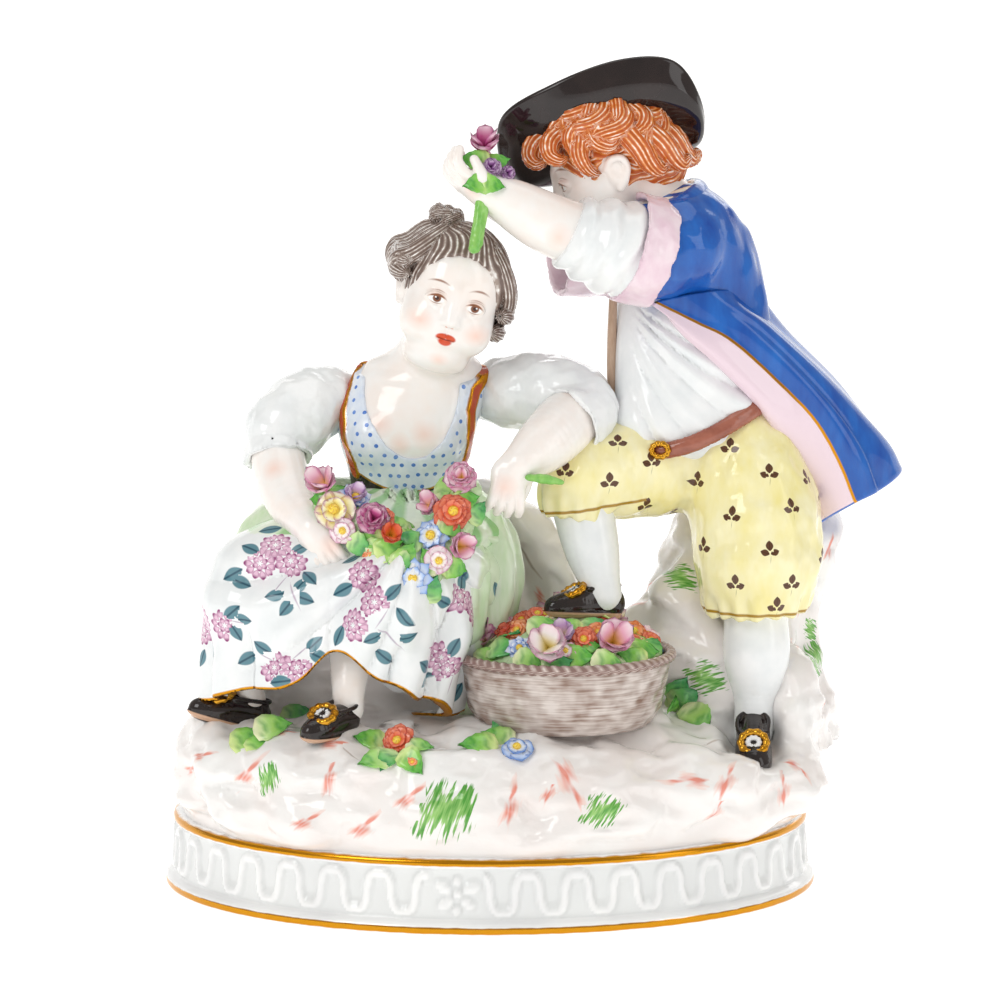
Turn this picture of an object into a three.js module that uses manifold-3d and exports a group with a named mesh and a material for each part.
// A glazed porcelain figure group, modelled, luted together and fired as one piece with its oval plinth.
// A girl sits on a rock with flowers in her lap. A boy stands beside her with one foot on a flower basket and
// leans over to set a nosegay in her hair. Millimetres, +Z up, the front is -Y, and the origin is the centre of
// the plinth's flat underside.
import * as THREE from "three";
import { mergeVertices } from "three/addons/utils/BufferGeometryUtils.js";
import Module from "manifold-3d";

const wasm = await Module();
wasm.setup();

// Driving dimensions: an oval plinth 151 mm wide and 120 mm deep, under a group 190 mm tall.
const PLINTH_HALF_WIDTH = 75.5;
const PLINTH_HALF_DEPTH = 60;
const PLINTH_TOP = 17;
const FOOT_HEIGHT = 3;
const BAND_INSET = 2;
const GLAZE_WHITE = 0xf1f1ec;

// The meander on the plinth's band, in low relief: one wave on each of the plinth's sides, and the corners of a
// wave as [share of the side, crest or trough].
const WAVE_COUNT = 32;
const WAVE_CORNERS = [[0.02, 1], [0.38, 1], [0.52, -1], [0.88, -1]];
const WAVE_BOTTOM = 4.6;
const WAVE_TOP = 13.6;
const WAVE_WIDTH = 2.3;
const WAVE_RELIEF = 0.7;
const ORNAMENT_X = -7;
const ORNAMENT_LEAN = 32;

const LIMB_DOME = 0.6;
const DEGREE = Math.PI / 180;
const TURN = Math.PI * 2;

const point = (x, y, z) => new THREE.Vector3(x, y, z);

// The closed solid of a geometry, whichever way its faces were wound.
function solid(geometry) {
  const bare = geometry.clone();
  bare.deleteAttribute("normal");
  bare.deleteAttribute("uv");
  const merged = mergeVertices(bare, 1e-4);
  const vertProperties = new Float32Array(merged.attributes.position.array);
  const triVerts = new Uint32Array(merged.index.array);
  const made = new wasm.Manifold(new wasm.Mesh({ numProp: 3, vertProperties, triVerts }));
  if (made.volume() > 0) return made;
  triVerts.reverse();
  return new wasm.Manifold(new wasm.Mesh({ numProp: 3, vertProperties, triVerts }));
}

const join = (solids) => solids.reduce((whole, next) => whole.add(next));

// A closed skin over rings that all have the same number of points. Each end is a fan whose hub stands out by
// the dome, a share of the end ring's radius. A looped skin has no ends: its last ring joins its first.
function skin(rings, { looped = false, dome = 0 } = {}) {
  const sides = rings[0].length;
  const count = rings.length;
  const positions = rings.flat().flatMap((p) => [p.x, p.y, p.z]);
  const index = [];
  for (let i = 0; i < (looped ? count : count - 1); i++) {
    for (let k = 0; k < sides; k++) {
      const next = (k + 1) % sides;
      const a = i * sides + k;
      const b = i * sides + next;
      const c = ((i + 1) % count) * sides + k;
      const d = ((i + 1) % count) * sides + next;
      index.push(a, b, d, a, d, c);
    }
  }
  const middle = (ring) => ring.reduce((sum, p) => sum.add(p), point(0, 0, 0)).divideScalar(sides);
  const ends = looped ? [] : [[0, 1], [count - 1, count - 2]];
  for (const [end, inner] of ends) {
    const centre = middle(rings[end]);
    const out = centre.clone().sub(middle(rings[inner])).normalize();
    centre.addScaledVector(out, dome * centre.distanceTo(rings[end][0]));
    const hub = positions.length / 3;
    positions.push(centre.x, centre.y, centre.z);
    for (let k = 0; k < sides; k++) {
      const a = end * sides + k;
      const b = end * sides + ((k + 1) % sides);
      index.push(...(end === 0 ? [hub, b, a] : [hub, a, b]));
    }
  }
  const geometry = new THREE.BufferGeometry();
  geometry.setAttribute("position", new THREE.Float32BufferAttribute(positions, 3));
  geometry.setIndex(index);
  return solid(geometry);
}

// A round limb along a smooth line through stations [x, y, z, radius], with domed ends.
function limb(stations, sides = 8, steps = 1) {
  const line = new THREE.CatmullRomCurve3(stations.map(([x, y, z]) => point(x, y, z)));
  const count = (stations.length - 1) * steps;
  const frames = line.computeFrenetFrames(count, false);
  const rings = frames.tangents.map((_, i) => {
    const before = Math.min(Math.floor(i / steps), stations.length - 2);
    const radius = THREE.MathUtils.lerp(stations[before][3], stations[before + 1][3], i / steps - before);
    const centre = line.getPoint(i / count);
    return Array.from({ length: sides }, (_, k) => {
      const turn = (TURN * k) / sides;
      return centre
        .clone()
        .addScaledVector(frames.normals[i], radius * Math.cos(turn))
        .addScaledVector(frames.binormals[i], radius * Math.sin(turn));
    });
  });
  return skin(rings, { dome: LIMB_DOME });
}

// An ellipsoid: centre, half sizes, and turns about X, Y and Z in degrees.
function ball(centre, half, turns = [0, 0, 0], sides = 6, levels = 4) {
  const geometry = new THREE.SphereGeometry(1, sides, levels);
  geometry.rotateX(Math.PI / 2);
  geometry.scale(...half);
  const turn = new THREE.Euler(...turns.map((t) => t * DEGREE));
  geometry.applyMatrix4(new THREE.Matrix4().makeRotationFromEuler(turn));
  geometry.translate(...centre);
  return solid(geometry);
}

// A body built up from level oval sections, each [z, centre x, centre y, half width, half depth].
// shape(angle, share) gives the fraction added to the section's radius and the height added to its point.
function stack(sections, sides = 16, shape = () => [0, 0]) {
  return skin(
    sections.map(([z, cx, cy, rx, ry], i) =>
      Array.from({ length: sides }, (_, k) => {
        const angle = (TURN * k) / sides;
        const [swell, lift] = shape(angle, i / (sections.length - 1));
        const out = 1 + swell;
        return point(cx + rx * out * Math.cos(angle), cy + ry * out * Math.sin(angle), z + lift);
      }),
    ),
  );
}

// The corners of the plinth's oval at a given half width: equal steps along its edge.
function oval(halfWidth, z) {
  const halfDepth = halfWidth - (PLINTH_HALF_WIDTH - PLINTH_HALF_DEPTH);
  const edge = new THREE.EllipseCurve(0, 0, halfWidth, halfDepth, 0, TURN);
  return edge.getSpacedPoints(WAVE_COUNT).slice(0, WAVE_COUNT).map(({ x, y }) => point(x, y, z));
}

function plinth() {
  const band = PLINTH_HALF_WIDTH - BAND_INSET;
  return skin([
    oval(PLINTH_HALF_WIDTH - 1, 0),
    oval(PLINTH_HALF_WIDTH, 1.2),
    oval(band, FOOT_HEIGHT),
    oval(band, PLINTH_TOP),
  ]);
}

// One ridge follows the wave right round the band.
function meander() {
  const middle = (WAVE_TOP + WAVE_BOTTOM) / 2;
  const reach = (WAVE_TOP - WAVE_BOTTOM - WAVE_WIDTH) / 2;
  const corners = oval(PLINTH_HALF_WIDTH - BAND_INSET, middle);
  const places = corners.flatMap((corner, i) => {
    const along = corners[(i + 1) % WAVE_COUNT].clone().sub(corner);
    const out = point(along.y, -along.x, 0).normalize();
    return WAVE_CORNERS.map(([share, level]) => {
      const at = corner.clone().addScaledVector(along, share);
      return { out, at: at.setZ(middle + level * reach) };
    });
  });
  const rings = places.map(({ at, out }, i) => {
    const before = places[(i + places.length - 1) % places.length].at;
    const after = places[(i + 1) % places.length].at;
    const side = after.clone().sub(before).cross(out).normalize().multiplyScalar(WAVE_WIDTH / 2);
    const root = at.clone().addScaledVector(out, -0.3);
    return [root.clone().add(side), at.clone().addScaledVector(out, WAVE_RELIEF), root.clone().sub(side)];
  });
  return skin(rings, { looped: true });
}

// The small four-lobed bow that breaks the meander at the front: two crossed bars.
function ornament() {
  const centre = [ORNAMENT_X, BAND_INSET - PLINTH_HALF_DEPTH, (WAVE_TOP + WAVE_BOTTOM) / 2];
  return [-1, 1].map((lean) => ball(centre, [5, 1.2, 1.6], [0, lean * ORNAMENT_LEAN, 0], 4, 3));
}

// The rocky ground up to a rough plateau, and the stump. As in every list of sections here, each one is
// [z, centre x, centre y, half width, half depth].
const GROUND = [
  [PLINTH_TOP - 2, 0, 0, 70.6, 55.2],
  [24, 0, 0, 72.4, 56.4],
  [35, 0, 0, 69.8, 50.5],
  [40, -1, 1, 63, 43],
  [43, -2, 2, 40, 26],
];

const STUMP = [
  [34, 54, 10, 26, 24],
  [46, 55, 11, 22.5, 20],
  [57, 55, 13, 21, 18],
  [67, 57.4, 14, 20.4, 17.5],
  [76, 60.6, 14.5, 20.6, 17],
  [86, 62, 14.5, 17.5, 14],
];

// How far the ground stands out at an angle: knolls and gullies that grow from nothing at the plinth's edge.
function ruggedness(angle, share) {
  const rise = Math.min(1, share * 2);
  const knolls = 0.026 * Math.sin(5 * angle + 4 * share) + 0.016 * Math.sin(8 * angle - 5 * share + 1.2);
  return [rise * knolls, 1.1 * rise * Math.sin(4 * angle + 7 * share)];
}

function ground() {
  return [
    stack(GROUND, 22, ruggedness),
    // The rock that the girl sits on, and its scrolled side.
    ball([-20, 10, 56], [31, 27, 31], [0, 0, 0], 8, 4),
    limb([[-2, 6, 83, 5.5], [8, 6, 80, 6], [14, 6, 68, 7], [17, 4, 48, 9]], 6),
    // The stump behind the boy, and the rock at its foot.
    stack(STUMP, 11, (angle) => [0.04 * Math.sin(3 * angle), 0]),
    ball([50, -4, 50], [11, 9, 11]),
    ball([69.5, -7, 40], [8, 13, 12]),
  ];
}

// The basket, an oval tub with a rolled rim: [radius, height above its foot].
const BASKET_CENTRE = [17, -22, 41.5];
const BASKET_PROFILE = [[0, 0], [16.6, 0], [21.4, 5], [23.6, 12.6], [24.8, 15], [23.4, 17], [0, 18]];

function basket() {
  const tub = new THREE.LatheGeometry(BASKET_PROFILE.map(([r, z]) => new THREE.Vector2(r, z)), 16);
  tub.rotateX(Math.PI / 2);
  tub.scale(1, 0.94, 1);
  tub.translate(...BASKET_CENTRE);
  return solid(tub);
}

// The girl's skirt from the waist to the hem and on to the ground inside it, and the bodice above it.
const SKIRT = [
  [98, -18.5, -4, 13, 10],
  [92, -20.5, -6, 20, 15],
  [86, -25.5, -12, 28.5, 22],
  [77, -29.8, -17, 32.8, 26.5],
  [64, -32.4, -19.5, 31.4, 25.6],
  [50, -35, -19.5, 28.6, 24],
  [46, -35, -16.5, 24, 19.4],
  [38, -35, -16.5, 23, 18.4],
];
const HEM_SECTION = 5;
const BODICE = [
  [90, -19, -3, 12.6, 10],
  [97, -19.3, -4, 13.2, 10.4],
  [104, -19.4, -6, 15.8, 11.8],
  [111, -19.2, -6, 16.6, 11.4],
  [117, -17.6, -4, 13.6, 9.4],
  [120, -16.5, -4, 9, 7],
];
const SKIRT_FOLDS = 5;
const HEM_RISE = 11;
const HEM_DIP = 4.5;

// Folds deepen towards the hem, which lifts over the left shin and dips to the right of it.
function skirtFolds(angle, share) {
  const section = share * (SKIRT.length - 1);
  const depth = section > HEM_SECTION ? 0 : 0.06 * (section / HEM_SECTION) ** 1.5;
  const folds = depth * (Math.cos(SKIRT_FOLDS * angle + 1.5 * share) + 0.4 * Math.cos(3 * angle + 0.8));
  const lifted = Math.max(0, Math.cos(angle + 90 * DEGREE)) ** 8;
  const dipped = Math.max(0, Math.cos(angle + 38 * DEGREE)) ** 6;
  return [folds, section >= HEM_SECTION ? HEM_RISE * lifted - HEM_DIP * dipped - 2.5 : 0];
}

function girlDress() {
  return [
    stack(SKIRT, 20, skirtFolds),
    stack(BODICE, 10),
    // Overskirt bunched at her right hip, and falling in a fold at her left.
    ball([-47, -4, 83], [11, 13, 8], [0, -24, 0], 7, 4),
    limb([[-8, -8, 92, 6.5], [-1, -13, 86, 6], [1.5, -15, 74, 6.5], [-0.5, -16, 60, 6], [-3, -16, 46, 5]], 6),
  ];
}

// Sleeves and forearms are limbs, [x, y, z, radius] from the shoulder down.
const GIRL_RIGHT_SLEEVE = [
  [-30, -2, 112.5, 8], [-39, -5, 109.5, 9], [-46, -9, 104.8, 9.2],
  [-48.2, -12, 101.5, 7.4],
];
const GIRL_RIGHT_FOREARM = [
  [-47.5, -12, 102, 6], [-46.3, -17, 96, 5.7], [-43.5, -23, 90.5, 5],
  [-39, -28, 87, 4],
];
const GIRL_LEFT_SLEEVE = [
  [-2, -2, 112.5, 8], [8, -5, 113.5, 8.6], [17, -8, 112.5, 9.8],
  [21.5, -10, 110.6, 8.8],
];
const GIRL_LEFT_FOREARM = [
  [19, -14, 110.5, 8], [14.5, -20, 108, 6.6], [9.5, -26, 104.5, 4.9],
  [6, -30, 101.5, 4.2],
];

// Fingers side by side in pairs: the first pair's root, the step to the next, and the way from root to tip.
function fingers(root, step, reach, radius = 1.9) {
  return [0, 1].map((i) => {
    const from = root.map((v, axis) => v + step[axis] * i);
    const to = from.map((v, axis) => v + reach[axis]);
    return limb([[...from, radius], [...to, radius * 0.8]], 4);
  });
}

function girlArms() {
  return [
    limb(GIRL_RIGHT_SLEEVE),
    limb(GIRL_RIGHT_FOREARM, 6),
    ball([-36, -31, 85.6], [4.8, 3.4, 4.2], [0, 20, 0]),
    ...fingers([-36, -33.4, 87.4], [0.7, -0.1, -3.6], [5, -0.6, -0.4]),
    limb(GIRL_LEFT_SLEEVE),
    limb(GIRL_LEFT_FOREARM, 6),
    ball([4.6, -31, 99.3], [4.9, 3.8, 5.2], [0, -20, 0]),
    ...fingers([2.4, -32.6, 98], [3.8, 0.1, 0.1], [0.2, -1, -5]),
  ];
}

// A head from the chin to the crown: [height, forward, half width, half depth] from its centre.
const HEAD_SECTIONS = [
  [-13.4, 5, 5, 5],
  [-8.5, 3, 9.2, 9.4],
  [-1, 1, 11.3, 12],
  [6, -0.5, 11.4, 12.2],
  [13.4, -1.5, 6, 6.4],
];
const HEAD_SIDES = 8;

// A head is placed by its centre and its turns in degrees, and a spot on it by its own right, back and up.
const headPlace = (centre, turns) => {
  const turn = new THREE.Euler(...turns.map((t) => t * DEGREE), "YXZ");
  return (...offset) => point(...offset).applyEuler(turn).add(point(...centre));
};

function head(place) {
  const rings = HEAD_SECTIONS.map(([z, forward, rx, ry]) =>
    Array.from({ length: HEAD_SIDES }, (_, k) => {
      const angle = (TURN * (k + 0.5)) / HEAD_SIDES - Math.PI / 2;
      return place(rx * Math.cos(angle), ry * Math.sin(angle) - forward, z);
    }),
  );
  const nose = [[0, -12.2, 3], [0, -14.2, -3.6], [0, -11.6, -4.8]];
  return [skin(rings, { dome: 0.3 }), limb(nose.map((offset) => [...place(...offset).toArray(), 1.2]), 4)];
}

// The girl's head leans to her left.
const GIRL_HEAD = [-8.6, -11.5, 137.5];
const GIRL_HEAD_TURNS = [0, 14, 0];

function girlHead() {
  const place = headPlace(GIRL_HEAD, GIRL_HEAD_TURNS);
  const at = (...offset) => place(...offset).toArray();
  const lock = (...stations) => limb(stations.map(([x, y, z, r]) => [...at(x, y, z), r]), 5);
  return [
    limb([[-15.5, -4, 115, 8.2], [-12.5, -7, 122, 6.8], [-10, -10, 130, 6.6]], 6),
    ...head(place),
    // Hair: a cap drawn back from the brow, rolls over both temples that end in a curl, and a knot on top.
    ball(at(0, 2.4, 3.2), [13, 13, 13.2], GIRL_HEAD_TURNS, 9, 5),
    lock([-5, -8.4, 11, 3.4], [-10.2, -5.5, 6.6, 3.8], [-12.8, -2, 2.6, 4], [-12.6, 1, -1.6, 3.2]),
    lock([6, -8, 10.8, 3.2], [10.6, -4.8, 5.6, 3.2], [12.4, -1.2, -0.4, 3.3], [11.4, 1, -5.4, 2.8]),
    lock([-6, 4, 16, 3.6], [-1, 4, 17.2, 2.8], [4, 5, 14.8, 3.6]),
  ];
}

// A buckled shoe from its toe over its heel and down the heel's block, with the buckle on its instep.
function shoe(toe, heel, radius, drop = 2.6) {
  const middle = toe.map((v, axis) => (v + heel[axis]) / 2);
  const block = [heel[0], heel[1], heel[2] - drop, radius * 0.7];
  return [
    limb([[...toe, radius * 0.78], [...middle, radius * 1.08], [...heel, radius], block], 6),
    ball([middle[0], middle[1], middle[2] + radius], [2.2, 2.2, 1.5], [0, 0, 0], 4, 3),
  ];
}

function girlLegs() {
  return [
    limb([[-50, -14, 62, 5.4], [-53.5, -18, 54, 4.2], [-54.5, -20, 48, 3.6]], 6),
    ...shoe([-67.8, -22.5, 42.4], [-53, -20, 46.2], 3.5),
    limb([[-34, -29, 66, 6], [-33, -34, 57, 4.8], [-32, -37, 49, 3.8]], 6),
    ...shoe([-40.2, -45.5, 44], [-32, -37, 47.2], 3.7),
    // Rock under the shoes.
    ball([-57, -18, 36], [11, 12, 7]),
    ball([-35, -37, 36], [12, 11, 7]),
  ];
}

// The boy's shirt, full and bloused over his belt, and his coat's back.
const SHIRT = [
  [101, 48, -3, 13.5, 11],
  [104.5, 45.5, -5, 15.8, 12.4],
  [111, 45, -5, 16.3, 12.6],
  [125, 44, -3.5, 15.4, 11.8],
  [139, 43, -2, 13.6, 10.8],
  [149, 41.5, -1, 12, 10],
  [156, 39, -1, 8, 7.6],
];
const COAT_BACK = [
  [126, 49, 3, 15.4, 13],
  [133, 48.6, 2, 14.9, 13.2],
  [143, 48, 1.4, 14.2, 13.2],
  [151, 46.2, 1, 12.6, 12.2],
  [157, 44.2, 1, 9.6, 9.4],
  [161, 42.4, 1, 6.8, 6.8],
];
const BOY_RIGHT_THIGH = [
  [47, 0, 100, 13], [35, -7, 98.5, 11.6], [23.5, -13, 97.2, 9.8],
  [18.5, -15.5, 95, 8],
];
const BOY_LEFT_THIGH = [[56, -4, 101, 14], [61, -8, 90, 14.6], [61.6, -11, 79, 14.6], [60.8, -13, 68.6, 11]];

function boyLegs() {
  return [
    limb(BOY_RIGHT_THIGH, 9),
    limb(BOY_LEFT_THIGH, 9),
    ball([51.5, -1, 103], [15.5, 12.8, 10], [0, -14, 0], 8, 4),
    // The belt slopes down to his right.
    limb([[34, -13.5, 104, 2.4], [42, -17.5, 104, 2.4], [50, -17.2, 106, 2.4], [58, -12.5, 109.5, 2.4]], 4),
    limb([[21.5, -15.5, 91, 7.2], [23.6, -17, 81, 6.4], [25.8, -19, 72, 4.5]], 7),
    ...shoe([15.5, -24.5, 69.2], [28.4, -19.4, 70], 3.2, 2.2),
    limb([[60.6, -13, 66, 7.4], [61, -13, 56, 7], [60.6, -14.5, 45, 4.8], [60.4, -15.5, 38, 4.4]], 7),
    ...shoe([59.9, -28, 35], [60.4, -17, 36.4], 4.3),
    ball([60, -21, 27], [11, 13, 7.4]),
  ];
}

// The coat's skirts fly out behind him. Each station goes round the cloth: back edge, bulge, front edge, lining,
// inner edge and far side.
const COAT_TAILS = [
  [[62.5, 5, 134], [52, -12, 135], [38.2, -14.5, 133.5], [40, -12, 131], [42, -8, 131], [50, 16, 133]],
  [[69, 7, 126], [59.5, -10.5, 129], [48.6, -13, 128.3], [47.5, -9, 124.5], [48, -3, 124], [54, 17, 125]],
  [[79.5, 9, 115.5], [70.5, -8.5, 119.5], [62.3, -11.5, 120], [59, -6, 115], [57, 1, 113], [60, 18, 114]],
  [[87, 10, 106.5], [79.5, -6, 110], [72.4, -9.5, 110.3], [66.5, -3, 106.5], [62.5, 4, 104], [66, 19, 104]],
  [[93, 10.5, 99.5], [86, -4.5, 100.5], [78.8, -8.5, 99.8], [72, -2, 97.5], [67, 5, 95.5], [71, 19, 95]],
  [[95.8, 11, 95.4], [88.6, -3, 92.2], [82.5, -7.5, 90.4], [78, -3, 87], [76.8, 3, 84.6], [84, 16, 88]],
];
const COAT_SIDES = 10;

function coat() {
  const rings = COAT_TAILS.map((station) => {
    const outline = new THREE.CatmullRomCurve3(station.map((p) => point(...p)), true, "centripetal");
    return outline.getPoints(COAT_SIDES).slice(0, COAT_SIDES);
  });
  return [
    stack(COAT_BACK, 11),
    skin(rings),
    // The far front panel, seen past the shirt, and the collar.
    limb([[34.4, 7, 138, 4.4], [33, 7, 124, 4.4], [33.4, 6, 108, 4.4]], 4),
    limb([[35, -6, 158, 2.2], [43, -8.5, 158.5, 2.6], [50.5, -5, 158.5, 2.8], [51, 3, 159.5, 2.6]], 4),
  ];
}

const BOY_LEFT_SLEEVE = [[48.5, -4, 149.5, 11.4], [43, -9, 147.4, 11.6], [38.5, -12, 146.4, 11.8]];
const BOY_LEFT_CUFF = [[39.5, -12, 146.2, 11.4], [36, -13.4, 146, 12.7], [32, -14.6, 146, 12.4]];
const BOY_LEFT_SHIRT_SLEEVE = [[35, -13.8, 146.6, 11.4], [27.5, -15.4, 147.4, 11], [19.5, -16.8, 150, 7]];
const BOY_LEFT_FOREARM = [
  [22, -16.4, 149.6, 6.8], [13, -17.2, 153.4, 6.2], [5.5, -18, 157.8, 4.6],
  [1, -18.3, 160.4, 4],
];
const BOY_RIGHT_SLEEVE = [[42, 10, 149, 9.6], [32, 12, 148.4, 10.6], [22, 10, 147.6, 11]];
const BOY_RIGHT_FOREARM = [[22, 9, 149.5, 7], [10, 3, 154, 5.8], [-1, -6, 159.4, 4.4]];

function boyArms() {
  return [
    limb(BOY_LEFT_SLEEVE),
    limb(BOY_LEFT_CUFF, 9),
    limb(BOY_LEFT_SHIRT_SLEEVE, 9),
    limb(BOY_LEFT_FOREARM, 7),
    ball([-2.6, -18.6, 160.8], [4, 4, 5.6], [0, 24, 0]),
    ...fingers([-4.2, -17, 163], [-0.1, 0.2, -4], [-2, 4, 0.2]),
    limb(BOY_RIGHT_SLEEVE, 6),
    limb(BOY_RIGHT_FOREARM, 6),
    ball([-4.2, -9, 161.4], [4, 3.6, 4.8]),
    // The stems that he holds, down to the girl's brow.
    limb([[-0.6, -16, 158.5, 1.5], [-1, -19.5, 153, 1.5], [-2.6, -21.4, 147.6, 1.7]], 5),
  ];
}

// The boy looks to his right and down at her.
const BOY_HEAD = [27.8, -1.5, 165.6];
const BOY_HEAD_TURNS = [0, -26, -90];

// The boy's hair, a mass of locks that swirl round his head.
const BOY_HAIR = [
  [157, 36, 2, 5, 9],
  [160, 36.5, 1.4, 9, 13],
  [165, 33.5, 1, 14, 14.6],
  [171, 29.4, 0, 19, 14.6],
  [181, 33, 1, 11.5, 9.5],
];
const BOY_LOCKS = 5;

function boyHead() {
  return [
    limb([[41, -1, 153, 7.4], [36, -1.5, 158, 6.8], [31, -1.5, 162, 7]], 6),
    ...head(headPlace(BOY_HEAD, BOY_HEAD_TURNS)),
    stack(BOY_HAIR, 15, (angle, share) => [0.11 * Math.cos(BOY_LOCKS * angle + 9 * share), 0]),
  ];
}

// The cocked hat, tipped to the far side: pairs of [head band, brim edge] right round it.
const HAT = [
  [[10, -5, 171], [2.8, -6.5, 177]],
  [[18, -10, 176], [14.5, -12, 185.4]],
  [[29, -11.5, 181], [29.5, -12, 191]],
  [[39, -10, 182], [41.6, -9.5, 190.6]],
  [[46, -5.5, 178], [47.8, -5.5, 182]],
  [[46.5, 2, 171.6], [48.6, 4, 174]],
  [[41, 11, 167], [44, 18, 172.5]],
  [[30, 14, 164.5], [29.5, 22.5, 171]],
  [[18.5, 11.5, 161.5], [13, 17.5, 165]],
  [[11, 4, 163], [4.6, 4, 163.5]],
];
const HAT_CROWN = [31, 7, 183];
const HAT_SIDES = 15;
const BRIM_THICKNESS = 1.6;

function hat() {
  const inside = point(30, 1, 171);
  const crown = point(...HAT_CROWN);
  const smooth = (points) =>
    new THREE.CatmullRomCurve3(points.map((p) => point(...p)), true).getPoints(HAT_SIDES).slice(0, HAT_SIDES);
  const towards = (points, target, share) => points.map((p) => p.clone().lerp(target, share));
  const band = smooth(HAT.map(([near]) => near));
  const edge = smooth(HAT.map(([, far]) => far));
  const inner = edge.map((p) => p.clone().addScaledVector(crown.clone().sub(p).normalize(), BRIM_THICKNESS));
  const dome = [0.24, 0.6].map((share) => towards(band, crown, share));
  return skin([towards(band, inside, 0.5), band, edge, inner, ...dome]);
}

// Flowers, [x, y, z, radius], in the girl's lap, in the basket, in his hand and on the ground.
const LAP_FLOWERS = [
  [-35, -38, 93, 5.2], [-27.6, -40.4, 88.4, 5.4], [-12.6, -40.6, 85.6, 5], [-7.4, -38.6, 91.4, 5.4],
  [-19.6, -42.6, 79, 5],
];
const BASKET_FLOWERS = [
  [-0.4, -35, 62, 5.2], [9, -26, 66.4, 5.2], [13, -40, 61.6, 5.6], [30, -34, 63.4, 5.8],
];
const OTHER_FLOWERS = [[-2, -14.5, 170.6, 4], [-20, -46.5, 41, 4], [6.6, -44.5, 40.6, 4]];

// Leaves: [x, y, z, half length, turn in the picture's plane in degrees].
const LEAVES = [
  [-33, -36, 97, 4.8, 30], [-26, -44.6, 40.6, 5, -30],
  [-14.4, -46.5, 39.4, 5, -40], [0.4, -42, 41.6, 5.4, 32], [41, -27, 46.6, 6.4, -50],
];
const PETALS = 5;

// A blossom is a cup with a notched rim that faces forwards and up.
function blossom([x, y, z, radius]) {
  const facing = new THREE.Quaternion().setFromUnitVectors(point(0, 0, 1), point(0, -1, 0.45).normalize());
  const ring = (reach, notch, height) =>
    Array.from({ length: PETALS * 2 }, (_, k) => {
      const out = radius * reach * (k % 2 ? notch : 1);
      const angle = (Math.PI * k) / PETALS;
      const petal = point(out * Math.cos(angle), out * Math.sin(angle), radius * height);
      return petal.applyQuaternion(facing).add(point(x, y, z));
    });
  return skin([ring(0.4, 1, -1), ring(1, 0.72, 0.1)], { dome: -0.3 });
}

function leaf([x, y, z, half, turn]) {
  return ball([x, y, z], [half, 2.4, half * 0.5], [0, -turn, 0], 4, 3);
}

function flowers() {
  return [
    // What the blossoms are set in: the lap's garland, the heap in the basket and the nosegay.
    limb([
      [-35, -33, 92, 4], [-27, -35.6, 87.4, 4.6], [-18, -38, 81.6, 5.4],
      [-11, -36, 85, 5], [-6, -34, 93, 4],
    ], 6),
    ball([18, -25, 58], [20.5, 18, 8.4], [0, 0, 0], 10, 4),
    ball([-2, -15, 166.6], [3.4, 3.2, 4.6], [0, 0, 0], 4, 3),
    ...[...LAP_FLOWERS, ...BASKET_FLOWERS, ...OTHER_FLOWERS].map(blossom),
    ...LEAVES.map(leaf),
  ];
}

const pieces = [
  plinth(),
  meander(),
  ...ornament(),
  ...ground(),
  basket(),
  ...girlDress(),
  ...girlArms(),
  ...girlHead(),
  ...girlLegs(),
  ...boyLegs(),
  stack(SHIRT, 11),
  ...coat(),
  ...boyArms(),
  ...boyHead(),
  hat(),
  ...flowers(),
];

// The group as one mesh in glazed white porcelain.
function porcelain(name, whole) {
  const { vertProperties, triVerts } = whole.getMesh();
  const geometry = new THREE.BufferGeometry();
  geometry.setAttribute("position", new THREE.BufferAttribute(vertProperties, 3));
  geometry.setIndex(new THREE.BufferAttribute(triVerts, 1));
  geometry.computeVertexNormals();
  const material = new THREE.MeshStandardMaterial({ color: GLAZE_WHITE, roughness: 0.12, metalness: 0 });
  const mesh = new THREE.Mesh(geometry, material);
  mesh.name = name;
  return mesh;
}

const group = new THREE.Group();
group.add(porcelain("porcelain_group", join(pieces)));

export default group;
